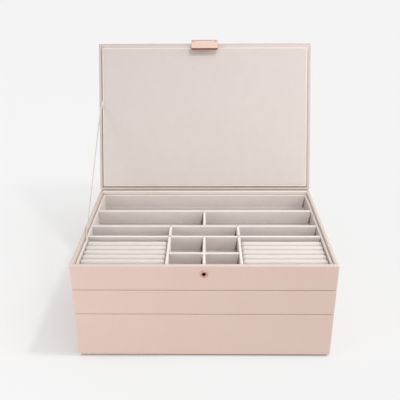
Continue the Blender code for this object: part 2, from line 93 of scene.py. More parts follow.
# Close points take the place of those that are nearer to the socket's hole than the clearance.
HOLE_POINTS = np.linspace(-5, 5, 31) * MM
HOLE_CLEAR = 6 * MM
HOLE_CLEAR_SHARE = 0.03
WRAP_SINK = 0.09 * MM
WRAP_WAVE = 70 * MM
TURNED_IN_SHEEN = 0.85
RIGHT_GAP_DARK = 0.5
LEFT_GAP_DARK = 0.25
GAP_FADE = 3 * MM
TRAYS = ("bottom", "middle", "top")


def corners(node):
    """The lowest and the highest corner of a CAD node's box, as arrays."""
    return [np.array(corner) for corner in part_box(node)]


def crowded(places, middle, close, clear):
    """Places along a line, where close ones round the middle replace those within the clearance of it."""
    return np.concatenate([places[places < middle - clear], middle + close, places[places > middle + clear]])


def points(*coordinates):
    """Points from their coordinates, which are broadcast to one shape."""
    return np.stack(np.broadcast_arrays(*coordinates), axis=-1)


def bend(inset, height, radius, start, end, steps=6):
    """Part of a circle: (inset, height) plus the radius turned from the start to the end, in degrees."""
    turn = np.radians(np.linspace(start, end, steps + 1))
    return points(inset + radius * np.cos(turn), height + radius * np.sin(turn))


def carried_round(profile, half_x, half_y, corner, least, shares=np.linspace(0, 1, 32), corner_points=8):
    """A profile of (inset, height) pairs carried round a rectangle whose corners are quarter circles.

    At each inset the sides move in by it and the corner's radius shrinks by it, down to the least radius.
    Rows are the profile's points. Columns run anticlockwise round the rectangle, at these shares of a side.
    """
    inset, height = (column[:, None] for column in np.asarray(profile, float).T)
    radius = np.maximum(corner - inset, least)
    reach_x, reach_y = half_x - inset - radius, half_y - inset - radius
    turn = np.linspace(0, np.pi / 2, corner_points)
    arcs = []
    for quarter, (side_x, side_y) in enumerate(((1, 1), (-1, 1), (-1, -1), (1, -1))):
        angle = turn + quarter * np.pi / 2
        x, y = side_x * reach_x + radius * np.cos(angle), side_y * reach_y + radius * np.sin(angle)
        arcs.append(points(x, y))
    arcs = np.array(arcs)
    ends, starts = arcs[:, :, -1:], np.roll(arcs, -1, axis=0)[:, :, :1]
    along = np.asarray(shares)[1:-1, None]
    outline = np.concatenate([arcs, ends + (starts - ends) * along], axis=2)
    outline = outline.transpose(1, 0, 2, 3).reshape(len(height), -1, 2)
    return points(outline[..., 0], outline[..., 1], height)


def rippled(grid, period, depth, seed):
    """Soft unevenness, from -depth to depth: the mean of four sine waves of random direction over a grid."""
    random = np.random.default_rng(seed)
    ways = random.normal(size=(4, 3))
    turns = 2 * np.pi / period * random.uniform(0.6, 1.5, (4, 1))
    ways *= turns / np.linalg.norm(ways, axis=1, keepdims=True)
    return depth * np.sin(grid @ ways.T + random.uniform(0, 2 * np.pi, 4)).mean(axis=-1)


def skin(name, grid, finish, joined=False):
    """A closed skin over rows of points that each run round: quads between the rows, and a face on each end.

    The faces are turned over if the volume inside comes out negative, so that they always point outwards.
    """
    rows, columns = grid.shape[:2]
    index = np.arange(rows * columns).reshape(rows, columns)
    after = np.roll(index, -1, axis=0) if joined else index[1:]
    before = index if joined else index[:-1]
    quads = np.stack([before, np.roll(before, -1, axis=1), np.roll(after, -1, axis=1), after], axis=-1)
    faces = quads.reshape(-1, 4).tolist()
    if not joined:
        faces += [index[0, ::-1].tolist(), index[-1].tolist()]
    mesh = bpy.data.meshes.new(name)
    mesh.from_pydata(grid.reshape(-1, 3), [], faces)
    shape = bmesh.new()
    shape.from_mesh(mesh)
    if shape.calc_volume(signed=True) < 0:
        bmesh.ops.reverse_faces(shape, faces=shape.faces)
    shape.to_mesh(mesh)
    shape.free()
    mesh.shade_smooth()
    mesh.set_sharp_from_angle(angle=math.radians(50))
    mesh.materials.append(finish)
    piece = bpy.data.objects.new(name, mesh)
    scene.collection.objects.link(piece)
    return piece


def mark(piece, name, values):
    """Keeps a number for each point of a piece, or each row of them, which its finish reads by that name."""
    layer = piece.data.attributes.new(name, "FLOAT", "POINT")
    values = np.repeat(np.ravel(values), len(layer.data) // np.size(values))
    layer.data.foreach_set("value", values.astype(np.float32))


def linear(colour):
    """An sRGB hex colour as scene-linear red, green, blue and alpha."""
    channels = np.array([int(colour[i : i + 2], 16) / 255 for i in (1, 3, 5)])
    light = np.where(channels <= 0.04045, channels / 12.92, ((channels + 0.055) / 1.055) ** 2.4)
    return (*light.tolist(), 1.0)


def add_node(tree, kind, sockets=None, **settings):
    """Adds a shader node with its settings. Each Mix node mixes colours.

    A socket takes a value, a hex colour, or the (node, output) pair that it is linked to.
    """
    made = tree.nodes.new("ShaderNode" + kind)
    if kind == "Mix":
        made.data_type = "RGBA"
    for name, value in settings.items():
        setattr(made, name, value)
    for name, value in (sockets or {}).items():
        if isinstance(value, tuple) and isinstance(value[0], bpy.types.Node):
            tree.links.new(value[0].outputs[value[1]], made.inputs[name])
        else:
            made.inputs[name].default_value = linear(value) if isinstance(value, str) else value
    return made


# A Mix node's two colours and its output.
FIRST, SECOND, MIXED = 6, 7, 2


def new_finish(name):
    """An empty material, the function that adds a node to it, and its Object coordinates."""
    material = bpy.data.materials.new(name)
    material.use_nodes = True
    material.node_tree.nodes.clear()
    add = partial(add_node, material.node_tree)
    return material, add, (add("TexCoord"), "Object")


def close_finish(add, shader):
    """Puts the finished shader on the surface."""
    add("OutputMaterial", {"Surface": (shader, "BSDF")})


# Embossed polyurethane leatherette: a satin skin with a fine pebble grain, which softens the highlights.
# The real grain is about 0.5 mm. It is drawn at 1.3 mm, because a pixel covers about 1.5 mm of the box.
leatherette, add, place = new_finish("pale rose embossed leatherette")
pebble = add("TexVoronoi", {"Vector": place, "Scale": 1 / (1.3 * MM), "Smoothness": 0.6}, feature="SMOOTH_F1")
crease = add("TexNoise", {"Vector": place, "Scale": 1 / (7 * MM), "Detail": 4.0, "Roughness": 0.6})
dye = add("TexNoise", {"Vector": place, "Scale": 1 / (60 * MM), "Detail": 3.0})
tone = add("Mix", {"Factor": (dye, "Fac"), FIRST: "#D7BCB0", SECOND: "#DEC6BC"})
grain = add("Mix", {"Factor": (pebble, "Distance"), FIRST: (tone, MIXED), SECOND: "#D3B7AB"})
# Painted sheen: where the skin is stretched over an edge or turned to the inside it is paler and greyer.
burnish = add("Attribute", attribute_name="burnish")
sheen_tone = add("Mix", {"Factor": (burnish, "Fac"), FIRST: (grain, MIXED), SECOND: "#C3B7AF"})
# Painted shade darkens grooves, gaps and the hinge crease. The same dark tone darkens the lid's flat border a
# little near its front and right edges.
hollow = add("Attribute", attribute_name="hollow")
shade_tone = add("Mix", {"Factor": (hollow, "Fac"), FIRST: (sheen_tone, MIXED), SECOND: "#5E4A40"})
satin = add("MapRange", {"Value": (crease, "Fac"), "To Min": 0.5, "To Max": 0.66})
fine = add("Bump", {"Height": (pebble, "Distance"), "Strength": 0.16, "Distance": 0.12 * MM}, invert=True)
relief = add("Bump", {
    "Height": (crease, "Fac"), "Strength": 0.25, "Distance": 0.2 * MM, "Normal": (fine, "Normal"),
})
shader = add("BsdfPrincipled", {
    "Base Color": (shade_tone, MIXED), "Roughness": (satin, "Result"), "IOR": 1.5,
    "Normal": (relief, "Normal"), "Coat Weight": 0.04, "Coat Roughness": 0.4,
})
close_finish(add, shader)


def fit(piece, body, slot, *nodes):
    """Puts a piece on its body and lets it stand for its CAD nodes. The slot is not used."""
    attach(piece, body)
    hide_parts(*nodes)


for tray in TRAYS:
    low, high = corners(f"{tray}_shell")
    half_x, half_y, height = high[0], high[1], high[2] - low[2]
    foot = BOTTOM_FOOT_ROUND if tray == "bottom" else SHELL_ROUND
    rows, shares = np.linspace(foot * 2, height - SHELL_ROUND * 2, 9), np.linspace(0, 1, 32)
    if tray == "top":
        eyelet_low, eyelet_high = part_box("socket_eyelet")
        hole_z = (eyelet_low[2] + eyelet_high[2]) / 2 - low[2]
        rows = crowded(rows, hole_z, HOLE_POINTS, HOLE_CLEAR)
        shares = crowded(shares, 0.5, HOLE_POINTS / (2 * half_x), HOLE_CLEAR_SHARE)
    profile = np.concatenate(
        [
            [(SHELL_WALL, RECESS_DEPTH), (SHELL_WALL, RECESS_DEPTH / 2)],
            bend(SHELL_WALL - SHELL_ROUND / 2, SHELL_ROUND / 2, SHELL_ROUND / 2, 0, -90, 3),
            bend(foot, foot, foot, 270, 180),
            points(0, rows),
            bend(SHELL_ROUND, height - SHELL_ROUND, SHELL_ROUND, 180, 90),
            bend(SHELL_WALL - SHELL_ROUND, height - SHELL_ROUND, SHELL_ROUND, 90, 0),
            [(SHELL_WALL, height / 2), (SHELL_WALL, RECESS_DEPTH + FLOOR_BOARD)],
        ]
    )
    grid = carried_round(profile, half_x, half_y, SHELL_CORNER, SHELL_INNER_CORNER, shares)
    # The wrap lies a little unevenly on its boards: the outer faces swell and dip by under 0.1 mm.
    outer = (profile[:, 0] < SHELL_ROUND / 2)[:, None, None]
    at_side = np.abs(grid[..., :2]) > high[:2] - 1 * MM
    sink = WRAP_SINK * (1 + rippled(grid, WRAP_WAVE, 1, 3)[..., None]) * outer
    grid[..., :2] -= np.sign(grid[..., :2]) * sink * at_side
    if tray == "top":
        # The hole is pressed 5.4 mm deep into the wall, and its edge is under the eyelet's flange.
        away = np.hypot(grid[..., 0], grid[..., 2] - hole_z)
        front = (grid[..., 1] < 1 * MM - half_y) & (profile[:, 0] < SHELL_WALL / 2)[:, None]
        grid[..., 1] += HOLE_DEPTH * np.clip((HOLE_RADIUS - away) / HOLE_EDGE, 0, 1) * front
    grid[..., 2] += low[2]
    wrap = skin(f"{tray}_tray_wrap", grid, leatherette)
    # Painted sheen: the skin over the rim and down the inner faces is paler and greyer.
    turned_in = np.clip(profile[:, 0] / SHELL_ROUND, 0, 1) * (profile[:, 1] > height / 3)
    mark(wrap, "burnish", TURNED_IN_SHEEN * turned_in)
    # Painted shade: the inner faces in the gap above the lining are darker, the right one most.
    deep = np.clip((height - SHELL_ROUND - profile[:, 1]) / GAP_FADE, 0, 1) * (profile[:, 0] > SHELL_WALL / 2)
    right, left = grid[..., 0] > half_x - SHELL_WALL - 1 * MM, grid[..., 0] < 1 * MM + SHELL_WALL - half_x
    mark(wrap, "hollow", deep[:, None] * (RIGHT_GAP_DARK * right + LEFT_GAP_DARK * left))
    fit(wrap, f"{tray}_tray", "leatherette", f"{tray}_shell")


# Bases. A shallow tray of pressed board covered in dusty rose paper is glued into the recess under each
# shell, and stands proud of it, so that it nests in the rim of the tray below or stands on the table.
BASE_WALL = 5.0 * MM
BASE_FLOOR = 3.0 * MM
BASE_ROUND = 0.6 * MM
BASE_CORNER = 1.2 * MM
BASE_INNER_CORNER = 0.4 * MM

# Board paper: matt and dry, with faint fibres. The fibres are under 0.1 mm and are drawn at 1 mm.
base_paper, add, place = new_finish("dusty rose board paper")
fibre = add("TexNoise", {"Vector": place, "Scale": 1 / (1 * MM), "Detail": 4.0, "Distortion": 1.2})
tone = add("Mix", {"Factor": (fibre, "Fac"), FIRST: "#C3A89C", SECOND: "#D3BBB0"})
relief = add("Bump", {"Height": (fibre, "Fac"), "Strength": 0.2, "Distance": 0.05 * MM})
shader = add("BsdfPrincipled", {
    "Base Color": (tone, MIXED), "Roughness": 0.85, "IOR": 1.45, "Normal": (relief, "Normal"),
})
close_finish(add, shader)

for tray in TRAYS:
    low, high = corners(f"{tray}_base")
    height = high[2] - low[2]
    profile = np.concatenate(
        [
            bend(BASE_ROUND, BASE_ROUND, BASE_ROUND, 270, 180, 4),
            bend(BASE_ROUND, height - BASE_ROUND, BASE_ROUND, 180, 90, 4),
            bend(BASE_WALL - BASE_ROUND, height - BASE_ROUND, BASE_ROUND, 90, 0, 4),
            [(BASE_WALL, BASE_FLOOR)],
        ]
    )
    grid = carried_round(profile, high[0], high[1], BASE_CORNER, BASE_INNER_CORNER, np.linspace(0, 1, 8))
    grid[..., 2] += low[2]
    fit(skin(f"{tray}_tray_base_board", grid, base_paper), f"{tray}_tray", "base_board", f"{tray}_base")


# Linings. Each is a card box covered in short-pile velvet, glued down inside its shell with its rim 5 mm
# below the shell's. The velvet turns softly into the floor, and bulges a little between its glued corners.
LINER_WALL = 3.2 * MM
LINER_FLOOR = 1.6 * MM
LINER_ROUND = 1.3 * MM
LINER_CORNER = 1.5 * MM
LINER_INNER_CORNER = 1.1 * MM
FLOOR_FOLD = 1.4 * MM
LINING_BULGE = 0.16 * MM
BULGE_WAVE = 38 * MM
FLOOR_SHADE = 0.5
FOOT_SHADE = 0.18
SHADE_RISE = 4 * MM
# Painted shade: the faces that look left, away from the lamps on the right, are darker.
LEFT_FACE_SHADE = 0.3
# The stay ribbon goes down behind the left wall, and presses the lining in there.
RIBBON_TUCK_Y = -45.0 * MM
RIBBON_PRESS = 1.15 * MM
RIBBON_PRESS_REACH = 5 * MM

# In a compartment's right-hand corners a painted shadow darkens a narrow triangle, whose width is this share
# of the depth below the rim. An end further to the left than the card's thickness isn't the nearest.
CORNER_SLOPE = 0.19
BEHIND_CARD = 4 * MM
NO_END = 1.0
NO_CORNER = -4.0


def corner_shadow(grid, top, ends):
    """How far points lie inside the nearest painted corner shadow to their right, in millimetres; negative
    outside.

    The triangle stands on the floor at the compartment's end and has no width at the height of the top. It
    goes on behind the card that ends the compartment, so that it is whole up to the card's face.
    """
    gap = np.array(ends) - grid[..., 0, None]
    gap = np.where(gap < -BEHIND_CARD, NO_END, gap).min(axis=-1)
    return (CORNER_SLOPE * (top - grid[..., 2]) - gap) / MM


# Short-pile velvet: matt, with lighter edges where the pile is seen from the side, and soft patches where
# it leans. The tufts are about 0.2 mm and are drawn at 0.9 mm, and the patches are 10 to 20 mm across.
velvet, add, place = new_finish("oatmeal short-pile velvet")
lean = add("TexNoise", {
    "Vector": place, "Scale": 1 / (16 * MM), "Detail": 3.0, "Roughness": 0.55, "Distortion": 0.6,
})
tuft = add("TexNoise", {"Vector": place, "Scale": 1 / (0.9 * MM), "Detail": 3.0, "Roughness": 0.7})
patch = add("Mix", {"Factor": (lean, "Fac"), FIRST: "#CCC4BE", SECOND: "#DAD4CE"})
cover = add("Mix", {"Factor": (tuft, "Fac"), FIRST: (patch, MIXED), SECOND: "#D5CDC7"})
# Painted shade: the pile is darker on floors, at the foot of the walls, where it is folded under and on faces
# that look left. Painted shadow wedges darken the compartments' right-hand corners.
shade = add("Attribute", attribute_name="shade")
corner = add("Attribute", attribute_name="corner")
wedge_shadow = add("MapRange", {"Value": (corner, "Fac"), "From Max": 0.8, "To Max": 0.95})
darker = add("Math", {0: (shade, "Fac"), 1: (wedge_shadow, "Result")}, operation="MAXIMUM")
tone = add("Mix", {"Factor": (darker, 0), FIRST: (cover, MIXED), SECOND: "#8A7375"})
# Painted highlight: the velvet is lighter over the top of a card, where light falls on it.
crest = add("Attribute", attribute_name="crest")
lighter = add("Mix", {"Factor": (crest, "Fac"), FIRST: (tone, MIXED), SECOND: "#EDE7E2"})
relief = add("Bump", {"Height": (tuft, "Fac"), "Strength": 0.35, "Distance": 0.25 * MM})
shader = add("BsdfPrincipled", {
    "Base Color": (lighter, MIXED), "Roughness": 0.95, "IOR": 1.4, "Normal": (relief, "Normal"),
    "Sheen Weight": 0.35, "Sheen Roughness": 0.4, "Sheen Tint": "#F4EBE4",
})
close_finish(add, shader)

for tray in TRAYS:
    low, high = corners(f"{tray}_liner")
    height = high[2] - low[2]
    wall_rows = np.linspace(height - 2.5 * LINER_ROUND, LINER_FLOOR + 2 * FLOOR_FOLD, 4)
    profile = np.concatenate(
        [
            [(2 * MM, 0), (0, 0), (0, height / 2)],
            bend(LINER_ROUND, height - LINER_ROUND, LINER_ROUND, 180, 90),
            bend(LINER_WALL - LINER_ROUND, height - LINER_ROUND, LINER_ROUND, 90, 0),
            points(LINER_WALL, wall_rows),
            bend(LINER_WALL + FLOOR_FOLD, LINER_FLOOR + FLOOR_FOLD, FLOOR_FOLD, 180, 270, 5),
        ]
    )
    grid = carried_round(profile, high[0], high[1], LINER_CORNER, LINER_INNER_CORNER, np.linspace(0, 1, 62))
    inner = profile[:, 0] > LINER_ROUND
    sides = inner[:, None, None] * (np.abs(grid[..., :2]) > high[:2] - LINER_WALL - 0.2 * MM)
    grid[..., :2] += np.sign(grid[..., :2]) * sides * rippled(grid, BULGE_WAVE, LINING_BULGE, 11)[..., None]
    if tray == "top":
        near = np.exp(-(((grid[..., 1] - RIBBON_TUCK_Y) / RIBBON_PRESS_REACH) ** 4))
        outer = (grid[..., 0] < low[0] + 1.4 * MM) * (profile[:, 1] > height * 0.4)[:, None]
        grid[..., 0] += RIBBON_PRESS * near * outer
    grid[..., 2] += low[2]
    lining = skin(f"{tray}_tray_velvet_lining", grid, velvet)
    # Painted shade on the floor, low on the walls and on the right wall; a painted shadow in the rear right
    # corner.
    depth = np.clip(1 - (profile[:, 1] - LINER_FLOOR) / SHADE_RISE, 0, 1)
    lying = profile[:, 1] < LINER_FLOOR + 0.2 * MM
    low_down = np.where(lying, FLOOR_SHADE, FOOT_SHADE * depth) * inner
    upright = profile[:, 0] > LINER_WALL - 0.1 * MM
    right_wall = upright[:, None] & (grid[..., 0] > high[0] - LINER_WALL - 0.6 * MM)
    mark(lining, "shade", low_down[:, None] + LEFT_FACE_SHADE * right_wall)
    rear_wall = inner[:, None] & (grid[..., 1] > high[1] - LINER_WALL - 1.2 * MM)
    corner = corner_shadow(grid, high[2], [high[0] - LINER_WALL])
    mark(lining, "corner", np.where(rear_wall, corner, NO_CORNER))
    fit(lining, f"{tray}_tray", "velvet", f"{tray}_liner")


# Dividers. Each is a card wrapped in the linings' velvet, with a soft round top level with the rim, glued
# to the floor between two walls. The two between the ring bays are half-lapped where they cross.
CARD_CROWN = 1.9 * MM
CREST_HIGHLIGHT = 0.3
CARD_DIP = 0.12 * MM
DIP_WAVE = 30 * MM
CARD_SLACK = 0.03
SLACK_WAVE = 26 * MM
LAP_GAP = 0.3 * MM
FIRST_SEEDS = {"bottom": 100, "middle": 100, "top": 120}
CARDS = {
    "bottom": ("bottom_cross_divider", "bottom_long_divider"),
    "middle": (
        "middle_long_divider", "middle_rear_partition", "middle_front_partition_left",
        "middle_front_partition_right",
    ),
    "top": (
        "rear_row_divider", "second_row_divider", "third_row_divider", "second_row_partition",
        "third_row_partition_left", "third_row_partition_right", "ring_bay_divider_left",
        "ring_bay_divider_right", "cell_divider_lengthwise", "cell_divider_crosswise",
    ),
}


def wrapped_card(node, body, neighbours, seed, slot_span, slot_up):
    """A round-topped section carried along the card, level at its foot, with a slightly uneven top and faces.

    The top of the section is half an ellipse. Where the card is slotted, its top or its foot jumps to half
    height between two doubled stations, which leaves the slot's walls upright.
    """
    low, high = corners(node)
    along = 0 if high[0] - low[0] > high[1] - low[1] else 1
    across = 1 - along
    half, middle = (high[across] - low[across]) / 2, (high[across] + low[across]) / 2
    start, end = low[along], high[along]
    between = np.linspace(start + 2 * MM, end - 2 * MM, max(8, int((end - start) / (3 * MM))))
    places = np.concatenate([[start, start + 1 * MM], between, [end - 1 * MM, end]])
    if slot_span:
        before = places[places < slot_span[0] - 0.5 * MM]
        after = places[places > slot_span[1] + 0.5 * MM]
        places = np.concatenate([before, np.repeat(slot_span, 2), after])
        cut = slice(len(before) + 1, len(before) + 3)
    top = high[2] - CARD_DIP * (1 + rippled(places[:, None] * [1, 0, 0], DIP_WAVE, 1, seed))
    foot = np.full(len(places), low[2])
    half_way = (low[2] + high[2]) / 2
    if slot_span and slot_up:
        top[cut] = half_way - LAP_GAP / 2
    elif slot_span:
        foot[cut] = half_way + LAP_GAP / 2
    slack = CARD_SLACK * (1 + rippled(places[:, None] * [0, 1, 0], SLACK_WAVE, 1, seed + 50))
    swell = half * (1 - slack)
    turn = np.linspace(0, np.pi, 13)
    side = np.concatenate([[1, 1], np.cos(turn), [-1, -1]])
    share = np.concatenate([[0, 0.5], np.ones(len(turn)), [0.5, 0]])
    crown = np.concatenate([[0, -1], np.sin(turn) - 1, [-1, 0]]) * CARD_CROWN
    rise = (top - foot)[:, None] * share + crown
    grid = np.zeros((len(places), len(side), 3))
    grid[..., along] = places[:, None]
    grid[..., across] = middle + swell[:, None] * side
    grid[..., 2] = foot[:, None] + rise
    piece = skin(f"{node}_card", grid, velvet)
    # Painted shade on faces that look left, a painted highlight on the top, painted shadows in right-hand
    # corners.
    left_face = (across == 0) & (grid[..., 0] < middle - half / 2)
    mark(piece, "shade", LEFT_FACE_SHADE * left_face)
    mark(piece, "crest", CREST_HIGHLIGHT * np.clip((grid[..., 2] - top[:, None]) / CARD_CROWN + 1, 0, 1))
    if along == 0:
        facing = grid[..., 1] < middle
        ends = [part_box(body.replace("tray", "liner"))[1][0] - LINER_WALL]
        for other in neighbours:
            other_low, other_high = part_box(other)
            if other_high[1] - other_low[1] > 10 * MM and other_low[1] < low[1] < other_high[1] + 1 * MM:
                ends.append(other_low[0])
        mark(piece, "corner", np.where(facing, corner_shadow(grid, high[2], ends), NO_CORNER))
    fit(piece, body, "velvet", node)


for tray, names in CARDS.items():
    for seed, name in enumerate(names, FIRST_SEEDS[tray]):
        slot_span, slot_up = None, name.endswith("lengthwise")
        if name.startswith("cell"):
            # Each is cut for the other: the lengthwise one from above and the crosswise one from below.
            low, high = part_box("cell_divider_crosswise" if slot_up else "cell_divider_lengthwise")
            axis = 1 if slot_up else 0
            slot_span = (low[axis] - LAP_GAP, high[axis] + LAP_GAP)
        wrapped_card(name, f"{tray}_tray", names, seed, slot_span, slot_up)


# Ring rolls. Two bays each hold six rolls of soft foam wrapped in velvet, pushed in side by side, so that
# a ring is held in the groove between two of them. Each is drawn in where its cover is folded at the end: it
# drops there by a share of the drawn-in length, and its sides come in by a share of that drop.
ROLL_END = 4.2 * MM
END_DROP = 0.85
END_NARROWING = 0.8
ROLL_CROWN = 6.2 * MM
ROLL_DIP = 0.22 * MM
ROLL_SLACK = 0.08 * MM
ROLL_SHADE = 0.06
ROLL_SIDE_SHADE = 0.5
for side in ("left", "right"):
    for number in range(1, 7):
        node = f"ring_roll_{side}_{number}"
        low, high = corners(node)
        length = high[0] - low[0]
        seed = number + (10 if side == "left" else 30)
        # Stations are close together in the rounded ends and even between them.
        turn = np.linspace(0, np.pi / 2, 9)
        end = ROLL_END * (1 - np.cos(turn))
        drawn = ROLL_END * (1 - np.sin(turn)) * END_DROP
        between = np.linspace(ROLL_END * 1.2, length - ROLL_END * 1.2, 40)
        places = low[0] + np.concatenate([end, between, length - end[::-1]])
        drawn = np.concatenate([drawn, np.zeros(len(between)), drawn[::-1]])
        # The cover gives way softly: the crown and the width change by under 0.3 mm along the roll.
        line = places[:, None] * [1, 0, 0]
        crown = ROLL_CROWN - drawn - ROLL_DIP * (1 + rippled(line, 34 * MM, 1, seed))
        slack = ROLL_SLACK * (1 + rippled(line, 22 * MM, 1, seed + 60))
        half = (high[1] - low[1]) / 2 - drawn * END_NARROWING - slack
        middle = (low[1] + high[1]) / 2 + rippled(line, 45 * MM, 0.1 * MM, seed + 90)
        arc = np.linspace(0, np.pi, 25)
        side_way = np.concatenate([[0.9, 1.0], np.cos(arc), [-1.0, -0.9]])
        rise = np.concatenate([[0, 0.35], np.ones(len(arc)), [0.35, 0]])
        over = np.concatenate([[0, 0], np.sin(arc), [0, 0]])
        spring = high[2] - ROLL_CROWN - low[2]
        y = middle[:, None] + half[:, None] * side_way
        grid = points(places[:, None], y, low[2] + spring * rise + crown[:, None] * over)
        roll = skin(f"{node}_pad", grid, velvet)
        # Painted shade, darkest low on the roll's sides in the grooves, and a little all over.
        mark(roll, "shade", np.broadcast_to(ROLL_SHADE + ROLL_SIDE_SHADE * (1 - over) ** 2, grid.shape[:2]))
        fit(roll, "top_tray", "padded_velvet", node)


# Press socket. A rose-gold plated brass eyelet is riveted through the front wall of the top tray, and a brass
# cup behind it, dark brown as painted shade in the hole, takes the clasp's stud.


def turned(profile, centre):
    """A profile of (radius, distance) pairs turned about a line along Y, with the distance towards -Y."""
    radius, out = (column[:, None] for column in np.asarray(profile, float).T)
    angle = np.linspace(0, 2 * np.pi, 48, endpoint=False)
    x, z = radius * np.cos(angle), radius * np.sin(angle)
    return points(x, -out, z) + np.array(centre)


# Rose-gold plating on polished brass: bright and clean, with hairlines from the polishing mop. The hairlines
# are about 0.05 mm and are drawn at 0.4 mm, only in the gloss.
rose_gold, add, place = new_finish("polished rose-gold plating")
mop = add("Mapping", {"Vector": place, "Scale": (0.08, 1.0, 1.0)})
hairline = add("TexNoise", {"Vector": (mop, "Vector"), "Scale": 1 / (0.4 * MM), "Detail": 2.0})
gloss = add("MapRange", {"Value": (hairline, "Fac"), "To Min": 0.14, "To Max": 0.26})
wear = add("TexNoise", {"Vector": place, "Scale": 1 / (8 * MM), "Detail": 2.0})
tone = add("Mix", {"Factor": (wear, "Fac"), FIRST: "#F8D7C3", SECOND: "#FDE2D0"})
# The leaf is browner. The flap's end is browner as a painted dark reflection, and its knuckle's top as a
# painted shadow.
cast = add("Attribute", attribute_name="cast")
browned = add("Mix", {"Factor": (cast, "Fac"), FIRST: (tone, MIXED), SECOND: "#8A5A48"})
shader = add("BsdfPrincipled", {
    "Base Color": (browned, MIXED), "Roughness": (gloss, "Result"), "Metallic": 1.0,
})
close_finish(add, shader)

# Dark brown, half dull brass: the dark brown is painted shade in the socket's hole, so that it reads as a
# hole.
hole_shade_brass, add, place = new_finish("dark brass as painted hole shade")
stain = add("TexNoise", {"Vector": place, "Scale": 1 / (1.5 * MM), "Detail": 3.0})
tone = add("Mix", {"Factor": (stain, "Fac"), FIRST: "#2C150D", SECOND: "#47241A"})
shader = add("BsdfPrincipled", {"Base Color": (tone, MIXED), "Roughness": 0.45, "Metallic": 0.8})
close_finish(add, shader)

# Copper-toned plating on the eyelet: pinker and duller than the clasp, with small dull spots.
copper_plate, add, place = new_finish("copper-toned eyelet plating")
spot = add("TexNoise", {"Vector": place, "Scale": 1 / (0.8 * MM), "Detail": 2.0})
dulled = add("MapRange", {"Value": (spot, "Fac"), "To Min": 0.25, "To Max": 0.42})
tone = add("Mix", {"Factor": (spot, "Fac"), FIRST: "#D29C8A", SECOND: "#E0AE9C"})
shader = add("BsdfPrincipled", {
    "Base Color": (tone, MIXED), "Roughness": (dulled, "Result"), "Metallic": 1.0,
})
close_finish(add, shader)

low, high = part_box("socket_eyelet")
socket_centre = ((low[0] + high[0]) / 2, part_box("top_shell")[0][1], (low[2] + high[2]) / 2)
EYELET_RADIUS = 5.5 * MM
BORE_RADIUS = 2.7 * MM
TUBE_RADIUS = 3.1 * MM
FLANGE_FOOT = 0.3 * MM
FLANGE_RISE = 0.8 * MM
TUBE_DEPTH = -2.8 * MM
# The flange's section is a half ellipse that is a little squarer than a true one.
turn = np.linspace(0, np.pi, 15)
flange_radius = (EYELET_RADIUS + BORE_RADIUS) / 2 + (EYELET_RADIUS - BORE_RADIUS) / 2 * np.cos(turn)
flange = points(flange_radius, FLANGE_FOOT + FLANGE_RISE * np.sin(turn) ** 0.8)
tube = [(BORE_RADIUS, TUBE_DEPTH), (TUBE_RADIUS, TUBE_DEPTH), (TUBE_RADIUS, FLANGE_FOOT)]
profile = np.concatenate([tube, flange])
eyelet = skin("socket_eyelet_ring", turned(profile, socket_centre), copper_plate, joined=True)
fit(eyelet, "top_tray", "rose_metal", "socket_eyelet")

CUP_BACK = -5.3 * MM
CUP_FLOOR = 0.6 * MM
CUP_LIP = -3.1 * MM
# The cup's sleeve runs forwards inside the eyelet's tube and ends just short of its flange.
SLEEVE_RADIUS = 2.6 * MM
SLEEVE_BORE = 2.2 * MM
SLEEVE_END = -0.1 * MM
profile = [
    (TUBE_RADIUS - 0.3 * MM, CUP_BACK), (TUBE_RADIUS, CUP_BACK + 0.3 * MM), (TUBE_RADIUS, CUP_LIP),
    (SLEEVE_RADIUS, CUP_LIP), (SLEEVE_RADIUS, SLEEVE_END), (SLEEVE_BORE, SLEEVE_END),
    (SLEEVE_BORE, CUP_BACK + CUP_FLOOR + 0.4 * MM), (SLEEVE_BORE - 0.4 * MM, CUP_BACK + CUP_FLOOR),
]
# The cup's dark brown is painted shade in the hole.
cup = skin("socket_cup_well", turned(profile, socket_centre), hole_shade_brass)
fit(cup, "top_tray", "socket_dark", "socket_cup")


# Lid board. A board wrapped in the same leatherette, hinged along the back and open against its ribbon.
# Its points are worked out shut, in the hinge's frame, and then turned open.
hinge = next(joint for joint in frame["joints"] if joint["name"] == "lid_hinge")
HINGE = np.array(hinge["pos_m"], float)
LID_OPEN = math.radians(111.4)
LID_THICKNESS = 13 * MM
LID_FRONT = 256.2 * MM
LID_REAR = 0.7 * MM
LID_ROUND = 1.7 * MM
# The wrap is pressed into a shallow groove round the pad. Near the front, between two distances from the
# lid's edge, it runs out to the share of its depth that is left there.
GROOVE_INSET = 4.4 * MM
GROOVE_WIDTH = 1.5 * MM
GROOVE_STEEPER = 1.6
GROOVE_RUN_OUT = (7.2 * MM, 19.2 * MM)
GROOVE_LEFT = 0.15
LID_MIDDLE_FACE = 12 * MM
# Painted shade darkens the groove, most at its left and along the hinge, where the pad's shadow falls. The
# flat border near the front and right edges is darkened a little too.
SHADOW_STRIP = 8 * MM
EDGE_STRIP = 5 * MM
GROOVE_DARK = 0.02
LEFT_GROOVE_DARK = 0.6
HINGE_GROOVE_DARK = 0.55
MOST_DARK = 0.7
EDGE_DARK = 0.12


def opened(shut):
    """Points of the shut lid, in the hinge's frame, turned back about X by the open angle and put there."""
    x, y, z = np.moveaxis(shut, -1, 0)
    cos, sin = math.cos(LID_OPEN), math.sin(LID_OPEN)
    return points(x, y * cos + z * sin, z * cos - y * sin) + HINGE


